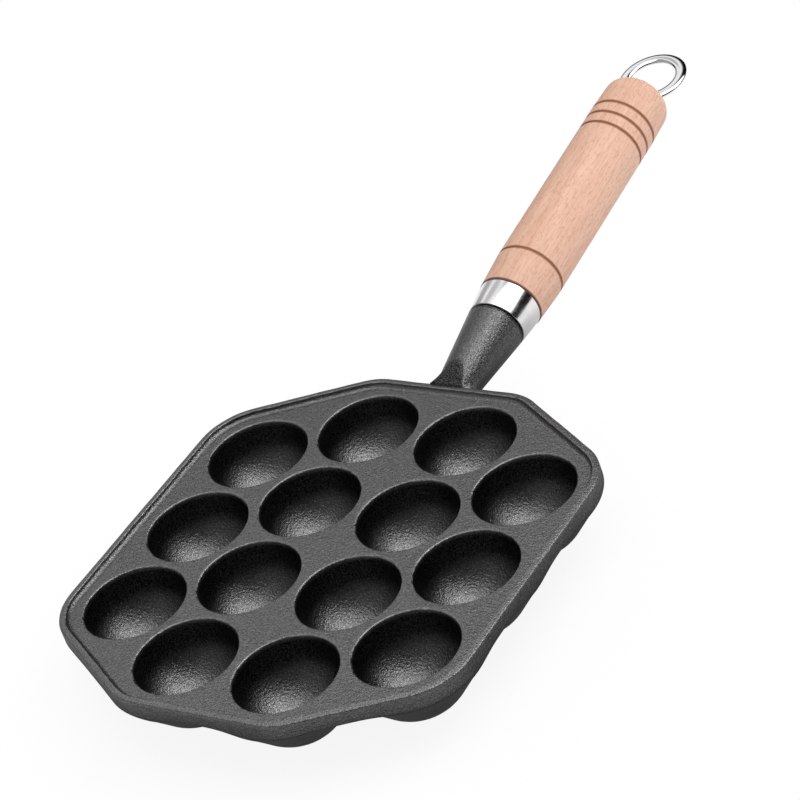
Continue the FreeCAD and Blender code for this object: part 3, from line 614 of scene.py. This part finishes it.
def rounded_end(steps=10):
    """Corners on the arc from the grip's body to its dish: centre + round * (sin a, cos a)."""
    low = GRIP_BACK - END_ROUND
    last = math.acos((DISH - low) / END_ROUND)
    middle = grip_end - END_ROUND * math.sin(last)
    angles = np.linspace(0, last, steps + 1)[:-1]
    return [(middle + END_ROUND * math.sin(a), low + END_ROUND * math.cos(a), 0) for a in angles]


tenon_start = spigot_top + TENON_GAP
tenon_radius = spigot + (tenon_start - ferrule_base) * (FERRULE_END - STEM_END) / FERRULE_LENGTH
bore_wall = ROD + ROD_CLEARANCE
counterbore_floor = grip_end - COUNTERBORE_DEPTH
seam = (grip_start + GRIP_SEAM, bore_wall, 0)
grip_corners = [
    seam, (tenon_start, bore_wall, TENON_ROUND), (tenon_start, tenon_radius, TENON_ROUND),
    (grip_start, FERRULE_END - FERRULE_WALL - SEAT_GAP, 0), (grip_start, GRIP_FRONT, FRONT_ROUND),
    *[corner for place in grooves for corner in groove(place)], *rounded_end(),
    (grip_end, DISH, DISH_ROUND), (dish_floor, COUNTERBORE, COUNTERBORE_ROUND),
    (counterbore_floor, COUNTERBORE, 0), (counterbore_floor, bore_wall, BORE_ROUND), seam]
grip_profile = rounded(grip_corners, 8)
beech_grip = welded_object("beech_grip", [turn(grip_profile, 160)])
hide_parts("grip")
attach(beech_grip, "pan")

# %% [markdown]
# The washer hides at the bottom of the counterbore and spreads the pull of the rod over the end
# grain. It is stamped from sheet, so its outer edges are rounder than those of its hole.

# %% Washer
WASHER_GAP, WASHER = 0.6 * MM, 1.2 * MM
STAMPED_ROUND, HOLE_ROUND = 0.2 * MM, 0.15 * MM
washer_outer = COUNTERBORE - WASHER_GAP
washer_start = counterbore_floor + SEAT_GAP
washer_top = washer_start + WASHER
washer_corners = [((washer_start + washer_top) / 2, bore_wall, 0), (washer_start, bore_wall, HOLE_ROUND),
                  (washer_start, washer_outer, STAMPED_ROUND), (washer_top, washer_outer, STAMPED_ROUND),
                  (washer_top, bore_wall, HOLE_ROUND)]
seat_washer = welded_object("seat_washer", [turn(rounded(washer_corners + washer_corners[:1], 4))])
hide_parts("end_washer")
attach(seat_washer, "washer")

# %% [markdown]
# ## The hanging eye
# The ring was bent from wire and pressed a little flat. It is an ellipse carried round a circle, so
# its grid closes in both directions. It is welded on a small collar, and the collar ends a long rod
# whose tip has a real M6 thread: the radius of the rod falls and rises once per pitch, and a turn of
# the angle moves that wave by one pitch along the axis, which is all that a helix is.

# %% Ring, collar and rod
WELD_DEPTH, COLLAR, COLLAR_ROUND = 1.2 * MM, 4.6 * MM, 0.3 * MM
THREAD_PITCH, THREAD_DEPTH, THREAD_LENGTH = 1.0 * MM, 0.5 * MM, 16.0 * MM
TIP_LENGTH, TIP_BEVEL, THREAD_FADE = 0.8 * MM, 0.5 * MM, 1.5 * MM
collar_start = washer_top + SEAT_GAP
collar_end = ring_centre - RING - RING_WIDTH / 2 + WELD_DEPTH


def wire_ring(sides=128, wire_sides=32):
    """Flattened torus: a circle in the plane of the handle axis that carries an ellipse round it."""
    big = np.arange(sides + 1)[:, None, None] / sides * 2 * math.pi
    small = np.arange(wire_sides)[None, :, None] / wire_sides * 2 * math.pi
    outward_ray = np.cos(big) * along + np.sin(big) * across
    centre = axis_start + ring_centre * along + RING * outward_ray
    return centre + (RING_WIDTH * np.cos(small) * outward_ray + RING_THICKNESS * np.sin(small) * upward) / 2


def threaded_rod(sides=48):
    """Rod with a helical thread: radius = rod - depth * saw of (s / pitch - angle / turn).

    The saw is stretched a little and clipped, which leaves flat crests and roots.
    """
    thread_rows = np.linspace(rod_tip, rod_tip + THREAD_LENGTH, 193)
    shank_rows = np.linspace(rod_tip + THREAD_LENGTH, collar_start, 12)[1:]
    rows = np.concatenate([thread_rows, shank_rows])
    angle = np.arange(sides) / sides * 2 * math.pi
    phase = rows[:, None] / THREAD_PITCH - angle / (2 * math.pi)
    saw = np.abs((phase % 1.0) * 2 - 1)
    depth = THREAD_DEPTH * np.clip(saw * 1.3 - 0.1, 0, 1)
    run_in = np.clip((rows - rod_tip) / TIP_LENGTH, 0, 1)
    run_out = np.clip((rod_tip + THREAD_LENGTH - rows) / THREAD_FADE, 0, 1)
    radius = ROD - depth * run_out[:, None] - TIP_BEVEL * (1 - run_in[:, None])
    radial = np.cos(angle)[:, None] * across + np.sin(angle)[:, None] * upward
    skin = axis_start + rows[:, None, None] * along + radius[..., None] * radial
    tip = np.broadcast_to(axis_start + rod_tip * along, (1, sides, 3))
    return np.vstack([tip, skin])


collar_profile = rounded([(collar_start, ROD, 0), (collar_start, COLLAR, COLLAR_ROUND),
                          (collar_end, COLLAR, COLLAR_ROUND), (collar_end, 0, 0)])
rod_and_collar = np.vstack([threaded_rod(), turn(collar_profile, 48)])
eye = welded_object("screwed_eye", [wire_ring(), rod_and_collar])
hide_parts("hanging_eye")
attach(eye, "eye")

# %% [markdown]
# ## Shader maths as Python
# A procedural material is a formula. Written as nodes it is hard to read, so `Wire` wraps one
# output socket and turns `+`, `-` and `*` into Math nodes, and `Finish.node` adds any other node:
# its settings first, then the values or wires of its inputs. Every texture is laid in the object's
# own coordinates, in metres, so a grain has the same size on every piece and moves with the piece.


# %% Wire and Finish
class Wire:
    """One output socket of a node tree, with arithmetic."""

    def __init__(self, finish, socket):
        self.finish = finish
        self.socket = socket

    def _math(self, operation, first, second=0.0):
        return self.finish.node("ShaderNodeMath", {"operation": operation}, {0: first, 1: second})

    def __add__(self, other):
        return self._math("ADD", self, other)

    def __sub__(self, other):
        return self._math("SUBTRACT", self, other)

    def __rsub__(self, other):
        return self._math("SUBTRACT", other, self)

    def __mul__(self, other):
        return self._math("MULTIPLY", self, other)

    def larger(self, other):
        return self._math("MAXIMUM", self, other)

    def smaller(self, other):
        return self._math("MINIMUM", self, other)

    def size(self):
        return self._math("ABSOLUTE", self)

    __radd__ = __add__
    __rmul__ = __mul__


class Finish:
    """The node tree of a material, or of the world, while it is being wired."""

    def __init__(self, owner):
        owner.use_nodes = True
        self.owner, self.tree = owner, owner.node_tree
        self.tree.nodes.clear()

    def node(self, kind, settings, inputs, output=0):
        """Add a node, set it up, fill its inputs, and return one of its outputs as a Wire."""
        node = self.tree.nodes.new(kind)
        for name, value in settings.items():
            setattr(node, name, value)
        for name, value in inputs.items():
            if isinstance(value, Wire):
                self.tree.links.new(value.socket, node.inputs[name])
            else:
                node.inputs[name].default_value = value
        return Wire(self, node.outputs[output]) if len(node.outputs) else None

    def place(self):
        """Object coordinates, which are the object's frame in metres here."""
        return self.node("ShaderNodeTexCoord", {}, {}, "Object")

    def noise(self, where, scale, detail, roughness):
        """Noise texture of so many grains per metre."""
        inputs = {"Vector": where, "Scale": scale, "Detail": detail, "Roughness": roughness}
        return self.node("ShaderNodeTexNoise", {}, inputs, "Fac")

    def between(self, value, low, high, to_low=0.0, to_high=1.0):
        """Smooth step: value from low to high becomes to_low to to_high."""
        settings = {"interpolation_type": "SMOOTHSTEP"}
        inputs = {"Value": value, "From Min": low, "From Max": high, "To Min": to_low, "To Max": to_high}
        return self.node("ShaderNodeMapRange", settings, inputs)

    def mixed(self, share, first, second):
        """Colour mix: first where share is 0, second where it is 1."""
        return self.node("ShaderNodeMix", {"data_type": "RGBA"}, {0: share, 6: first, 7: second}, 2)

    def bump(self, height, distance, strength, normal=None):
        """Bump by a height from 0 to 1, over a distance in metres, on top of another bump's normal."""
        inputs = {"Height": height, "Distance": distance, "Strength": strength}
        if normal is not None:
            inputs["Normal"] = normal
        return self.node("ShaderNodeBump", {}, inputs)

    def surface(self, kind, shader):
        """Wire a shader to the tree's output node, and say how large the tree has become."""
        self.node(kind, {}, {"Surface": shader})
        print(f"{self.owner.name}: {len(self.tree.nodes)} nodes")

    def principled(self, inputs):
        """Wire a Principled shader with these inputs to a material's output."""
        shader = self.node("ShaderNodeBsdfPrincipled", {}, inputs, "BSDF")
        self.surface("ShaderNodeOutputMaterial", shader)


# %% [markdown]
# ## Sand-cast iron
# Iron poured in sand keeps the grain of the sand: tiny pits and bumps under half a millimetre, over
# slower hollows. It is nearly black and dull, but each grain has a small bright side, which gives
# the speckle in the highlight of every cup. So the colour stays almost even, and most of the work is
# done by bump: two sizes of grain and one slow wave.
#
# A black metal reflects next to nothing. Metallic on a black colour is therefore a way to switch the
# shine off: in the pits between the grains, and where the wear attribute is below zero, which is
# painted shade in the cups and on the flat and a duller stem. Where it is above zero, on the worn
# edges, the colour turns grey as well, and the shine comes back as that of iron: partly wear, partly
# a painted highlight.

# %% Cast iron
BLACK, WEATHERED = (0.002, 0.002, 0.0021, 1), (0.004, 0.004, 0.0042, 1)
BARE_IRON_AND_HIGHLIGHT, BARE_SHARE = (0.30, 0.30, 0.305, 1), 0.7
PIT_DULLNESS, DULLING_AND_SHADE_STRENGTH = 0.41, 0.60
IRON_INDEX = 2.75

finish = Finish(bpy.data.materials.new("cast_iron"))
place = finish.place()
grain = finish.noise(place, 1150.0, 3.0, 0.65)
coarse = finish.noise(place, 520.0, 2.0, 0.5)
patches = finish.noise(place, 60.0, 3.0, 0.55)
slow = finish.noise(place, 18.0, 2.0, 0.5)
wear_and_painted_light = finish.node("ShaderNodeAttribute", {"attribute_name": "wear_and_painted_light"}, {}, "Fac")
# Above zero: worn edges with a painted highlight. Below zero: painted shade, and a duller stem.
worn_and_highlight = wear_and_painted_light.larger(0.0) * finish.between(coarse, 0.36, 0.58)
dulling_and_painted_shade = (wear_and_painted_light * -1.0).larger(0.0)
grit = finish.noise(place, 1900.0, 2.0, 0.6)
colour = finish.mixed(finish.between(patches, 0.35, 0.68), BLACK, WEATHERED)
# Grey bare iron on the edges: partly wear, partly a painted highlight.
colour = finish.mixed(worn_and_highlight, colour, BARE_IRON_AND_HIGHLIGHT)
pits = finish.between(grit, 0.36, 0.62, PIT_DULLNESS, 0.0)
metallic = worn_and_highlight * BARE_SHARE + (pits + dulling_and_painted_shade * DULLING_AND_SHADE_STRENGTH) * (1.0 - worn_and_highlight)
roughness = finish.between(patches, 0.3, 0.7, 0.30, 0.36) + (coarse - 0.5) * 0.2 - worn_and_highlight * 0.05
relief = finish.bump(slow, 0.9 * MM, 0.2)
relief = finish.bump(coarse, 0.25 * MM, 0.4, relief)
relief = finish.bump(grain, 0.34 * MM, 1.0, relief)
finish.principled({"Base Color": colour, "Metallic": metallic, "Roughness": roughness,
                   "Normal": relief, "IOR": IRON_INDEX})
cast_pan.data.materials.append(finish.owner)

# %% [markdown]
# ## Polished and chromed steel
# A polished sleeve is a curved mirror with the fine marks of the wheel running around it. The marks
# are a noise that is stretched around the axis: the coordinates are turned so that the axis is Z,
# and then Z is sampled far more finely than the rest. Fingers leave smudges, which are a slow noise
# in the roughness. The washer is duller, and chrome is smoother and has no marks of a wheel.

# %% Steel finishes
STEEL, STEEL_SMUDGED = (0.84, 0.82, 0.83, 1), (0.76, 0.75, 0.76, 1)
CHROME, CHROME_HAZED = (0.84, 0.84, 0.85, 1), (0.76, 0.76, 0.77, 1)
PLAIN_STEEL = (0.52, 0.52, 0.53, 1)
AROUND_AXIS = (0.12, 0.12, 9.0)


def on_axis(finish, scale=(1.0, 1.0, 1.0)):
    """Object coordinates moved to the start of the handle axis and turned so that the axis is Z."""
    moved = finish.node("ShaderNodeVectorMath", {"operation": "SUBTRACT"},
                        {0: finish.place(), 1: tuple(axis_start)})
    turned = finish.node("ShaderNodeVectorRotate", {"rotation_type": "X_AXIS"},
                         {"Vector": moved, "Angle": math.pi / 2 - TILT})
    return finish.node("ShaderNodeVectorMath", {"operation": "MULTIPLY"}, {0: turned, 1: scale})


finish = Finish(bpy.data.materials.new("polished_steel"))
marks = finish.noise(on_axis(finish, AROUND_AXIS), 900.0, 3.0, 0.7)
smudges = finish.noise(on_axis(finish), 160.0, 3.0, 0.6)
roughness = finish.between(smudges, 0.3, 0.75, 0.12, 0.20) + marks * 0.06
colour = finish.mixed(finish.between(smudges, 0.35, 0.7), STEEL, STEEL_SMUDGED)
finish.principled({"Base Color": colour, "Metallic": 1.0, "Roughness": roughness,
                   "Normal": finish.bump(marks, 0.01 * MM, 0.5)})
ferrule_sleeve.data.materials.append(finish.owner)

finish = Finish(bpy.data.materials.new("plain_steel"))
marks = finish.noise(on_axis(finish), 700.0, 3.0, 0.7)
finish.principled({"Base Color": PLAIN_STEEL, "Metallic": 1.0, "Roughness": marks * 0.2 + 0.25,
                   "Normal": finish.bump(marks, 0.02 * MM, 0.5)})
seat_washer.data.materials.append(finish.owner)

finish = Finish(bpy.data.materials.new("chrome"))
haze = finish.noise(finish.place(), 300.0, 3.0, 0.6)
finish.principled({"Base Color": finish.mixed(haze, CHROME, CHROME_HAZED), "Metallic": 1.0,
                   "Roughness": finish.between(haze, 0.3, 0.8, 0.05, 0.14),
                   "Normal": finish.bump(haze, 0.01 * MM, 0.3)})
eye.data.materials.append(finish.owner)

# %% [markdown]
# ## Beech
# Beech has no bold figure. Its mark is a rain of short dark flecks along the grain, over a pale
# pink ground with slow, long streaks. Each layer is the same noise, stretched by a different
# amount along the axis of the handle. The grooves were burnt in as the grip turned, so a brown band
# follows each of them: the distance to the nearest groove, measured along the axis, masks it. A thin
# dark line at the front end, at the joint with the ferrule, is painted shade.

# %% Beech
PALE, STREAK, CLOUD = (0.91, 0.585, 0.435, 1), (0.80, 0.475, 0.340, 1), (0.85, 0.545, 0.430, 1)
FIBRE, FLECK, BURNT = (0.60, 0.32, 0.22, 1), (0.60, 0.30, 0.19, 1), (0.35, 0.145, 0.075, 1)
JOINT_SHADE = (0.14, 0.055, 0.030, 1)
BURN_WAVER = 0.3 * MM

finish = Finish(bpy.data.materials.new("beech"))
streaks = finish.noise(on_axis(finish, (1.0, 1.0, 0.06)), 190.0, 4.0, 0.6)
fibres = finish.noise(on_axis(finish, (1.0, 1.0, 0.07)), 1300.0, 3.0, 0.7)
flecks = finish.noise(on_axis(finish, (1.0, 1.0, 0.30)), 1500.0, 2.0, 0.5)
clouds = finish.noise(on_axis(finish, (1.0, 1.0, 0.35)), 45.0, 3.0, 0.5)
colour = finish.mixed(finish.between(streaks, 0.3, 0.7), PALE, STREAK)
colour = finish.mixed(finish.between(clouds, 0.35, 0.7) * 0.45, colour, CLOUD)
colour = finish.mixed(finish.between(fibres, 0.42, 0.70) * 0.50, colour, FIBRE)
fleck_mask = finish.between(flecks, 0.55, 0.66)
colour = finish.mixed(fleck_mask * 0.50, colour, FLECK)

axial = finish.node("ShaderNodeSeparateXYZ", {}, {"Vector": on_axis(finish)}, "Z")
nearest = (axial - grooves[0]).size()
for groove_place in grooves[1:]:
    nearest = nearest.smaller((axial - groove_place).size())
burn_edge = (finish.noise(on_axis(finish), 500.0, 2.0, 0.5) - 0.5) * BURN_WAVER
burnt = finish.between(nearest + burn_edge, 0.50 * MM, 1.15 * MM, 0.95, 0.0)
colour = finish.mixed(burnt, colour, BURNT)
# Painted shade in the joint with the ferrule: a dark band on the first millimetre of wood.
painted_joint_shade = finish.between(axial, grip_start + 0.5 * MM, grip_start + 1.2 * MM, 1.0, 0.0)
colour = finish.mixed(painted_joint_shade * 0.9, colour, JOINT_SHADE)
relief = finish.bump(streaks, 0.10 * MM, 0.4)
relief = finish.bump(fibres - fleck_mask * 0.8, 0.06 * MM, 0.6, relief)
finish.principled({"Base Color": colour, "Roughness": finish.between(streaks, 0.3, 0.7, 0.50, 0.60),
                   "Normal": relief, "Specular IOR Level": 0.35})
beech_grip.data.materials.append(finish.owner)

# %% [markdown]
# ## Table, sky and lamps
# The table is a large disc. To the camera and to mirrors it is white paper that glows, with a share
# of its real shading left near the pan, so that the pan still throws a soft shadow. In mirrors a
# painted shadow darkens it close to the pan, where the pan would keep the light away from it.
# Without that the undersides of the steel pieces would come out too bright.

# %% Table
TABLE_RADIUS, TABLE_SIDES = 3.0, 64
PAPER, GLOW, MIRRORED_PAINTED_SHADOW = (0.92, 0.92, 0.92, 1), (1, 1, 1, 1), (0.14, 0.14, 0.14, 1)
PAPER_SHARE = 0.90

angle = np.arange(TABLE_SIDES) / TABLE_SIDES * 2 * math.pi
circle = TABLE_RADIUS * np.stack([np.cos(angle), np.sin(angle), 0 * angle], axis=1)
table = welded_object("table", [np.stack([0 * circle, circle])])


def seen_rays(finish):
    """Two masks: 1 for rays straight from the camera or through glass, and 1 for rays off mirrors."""
    names = ("Is Camera Ray", "Is Glossy Ray", "Is Transmission Ray")
    camera_ray, glossy_ray, glass_ray = (finish.node("ShaderNodeLightPath", {}, {}, name) for name in names)
    return camera_ray.larger(glass_ray), glossy_ray


finish = Finish(bpy.data.materials.new("white_paper"))
direct, mirrored = seen_rays(finish)
offset = finish.node("ShaderNodeVectorMath", {"operation": "DISTANCE"},
                     {0: finish.place(), 1: (0.0, pan_middle_y, 0.0)}, "Value")
paper_share = finish.between(offset, 0.07, 0.16, PAPER_SHARE, 1.0) * direct
# Painted shadow: to mirrors the glow turns dark grey close to the pan.
glow_colour = finish.mixed(mirrored * finish.between(offset, 0.10, 0.21, 1.0, 0.0), GLOW, MIRRORED_PAINTED_SHADOW)
diffuse = finish.node("ShaderNodeBsdfDiffuse", {}, {"Color": PAPER})
glow = finish.node("ShaderNodeEmission", {}, {"Color": glow_colour, "Strength": 1.0})
mix = finish.node("ShaderNodeMixShader", {}, {0: paper_share.larger(mirrored), 1: diffuse, 2: glow})
finish.surface("ShaderNodeOutputMaterial", mix)
table.data.materials.append(finish.owner)

# %% [markdown]
# The world is three things at once. To the camera it is white, like the paper. To surfaces it is a
# weak, even fill. To mirrors it is a dark room with a bright card beyond the pan, a low glow under
# the card and a wide, weak glow on the left, which give the steel something to reflect. Each is a
# pool of light about a direction: the dot product of the ray and that direction is the cosine of
# the angle between them.


# %% Sky
def heading(azimuth, elevation):
    """Unit vector toward an azimuth, from +Y over +X, and an elevation, both in degrees."""
    a, e = math.radians(azimuth), math.radians(elevation)
    return Vector((math.sin(a) * math.cos(e), math.cos(a) * math.cos(e), math.sin(e)))


def pool(ray, centre, edge, core):
    """1 within core degrees of a direction, falling to 0 at edge degrees from it."""
    nearness = ray.finish.node("ShaderNodeVectorMath", {"operation": "DOT_PRODUCT"},
                               {0: ray, 1: tuple(centre)}, "Value")
    return ray.finish.between(nearness, math.cos(math.radians(edge)), math.cos(math.radians(core)))


SKY_FILL = 0.21
ROOM_DARK, ROOM_CARD, ROOM_LOW, ROOM_BACK = 0.004, 1.08, 0.45, 0.40
CARD, LOW, BACK = heading(-57.0, 47.0), heading(-60.0, 6.0), heading(215.0, 25.0)

world = bpy.data.worlds.new("studio")
bpy.context.scene.world = world
finish = Finish(world)
direct, mirrored = seen_rays(finish)
ray = finish.node("ShaderNodeTexCoord", {}, {}, "Generated")
card = pool(ray, CARD, edge=31, core=13) * (1.0 - pool(ray, CARD, edge=14, core=6) * 0.5)
low_glow, back_glow = pool(ray, LOW, edge=19, core=8), pool(ray, BACK, edge=60, core=25)
room = ROOM_DARK + card * ROOM_CARD + low_glow * ROOM_LOW + back_glow * ROOM_BACK
light = direct * (1.0 - SKY_FILL) + mirrored * (room - SKY_FILL) + SKY_FILL
background = finish.node("ShaderNodeBackground", {}, {"Color": (1, 1, 1, 1), "Strength": light})
finish.surface("ShaderNodeOutputWorld", background)

# %% [markdown]
# Two lamps light the pan. A broad one hangs almost overhead and draws the long highlight in every
# cup. A small, bright one hangs lower on the same side and gives that highlight its core.


# %% Lamps
def softbox(name, toward, distance, width, length, brightness):
    """Area lamp at a distance from the pan, turned to it; length runs up the sky from the pan's view.

    An area lamp of P watts is as bright as P / (pi * area), so the power follows the brightness.
    """
    lamp = bpy.data.lights.new(name, "AREA")
    lamp.shape = "RECTANGLE"
    lamp.size, lamp.size_y = width, length
    lamp.energy = brightness * math.pi * width * length
    holder = bpy.data.objects.new(name, lamp)
    holder.location = pan_centre + toward * distance
    holder.rotation_euler = (-toward).to_track_quat("-Z", "Y").to_euler()
    bpy.context.scene.collection.objects.link(holder)
    print(f"{name}: {lamp.energy:.1f} W")


pan_centre = Vector((0, pan_middle_y, plate_top))
softbox("broad", heading(48.0, 68.0), distance=1.5, width=1.30, length=2.30, brightness=2.20)
softbox("core", heading(45.0, 50.0), distance=1.4, width=0.42, length=0.42, brightness=6.5)

# %% [markdown]
# ## Camera
# The pan is seen from the front right, from about 34 degrees above, through a long lens, with the
# camera rolled so that the handle climbs to the upper right corner. Azimuth, elevation, distance
# and roll place it about the point of the plate that lies in the middle of the picture.

# %% Camera
AIM = pan_centre + Vector((-18.12 * MM, 83.27 * MM, 0))
AZIMUTH, ELEVATION, ROLL = math.radians(42.491), math.radians(33.638), math.radians(-20.195)
DISTANCE, LENS, SENSOR, FARTHEST = 1.29498, 152.51, 36.0, 20.0
camera_data = bpy.data.cameras.new("camera")
camera_data.lens = LENS
camera_data.sensor_width = SENSOR
camera_data.clip_end = FARTHEST
camera = bpy.data.objects.new("camera", camera_data)
sight = Vector((-math.sin(AZIMUTH) * math.cos(ELEVATION), math.cos(AZIMUTH) * math.cos(ELEVATION),
                -math.sin(ELEVATION)))
level = sight.to_track_quat("-Z", "Y")
camera.rotation_mode = "QUATERNION"
camera.rotation_quaternion = level @ Matrix.Rotation(ROLL, 4, "Z").to_quaternion()
camera.location = AIM - sight * DISTANCE
bpy.context.scene.collection.objects.link(camera)
bpy.context.scene.camera = camera
bpy.context.scene.view_settings.view_transform = "Standard"
print("camera at", tuple(round(v, 4) for v in camera.location))
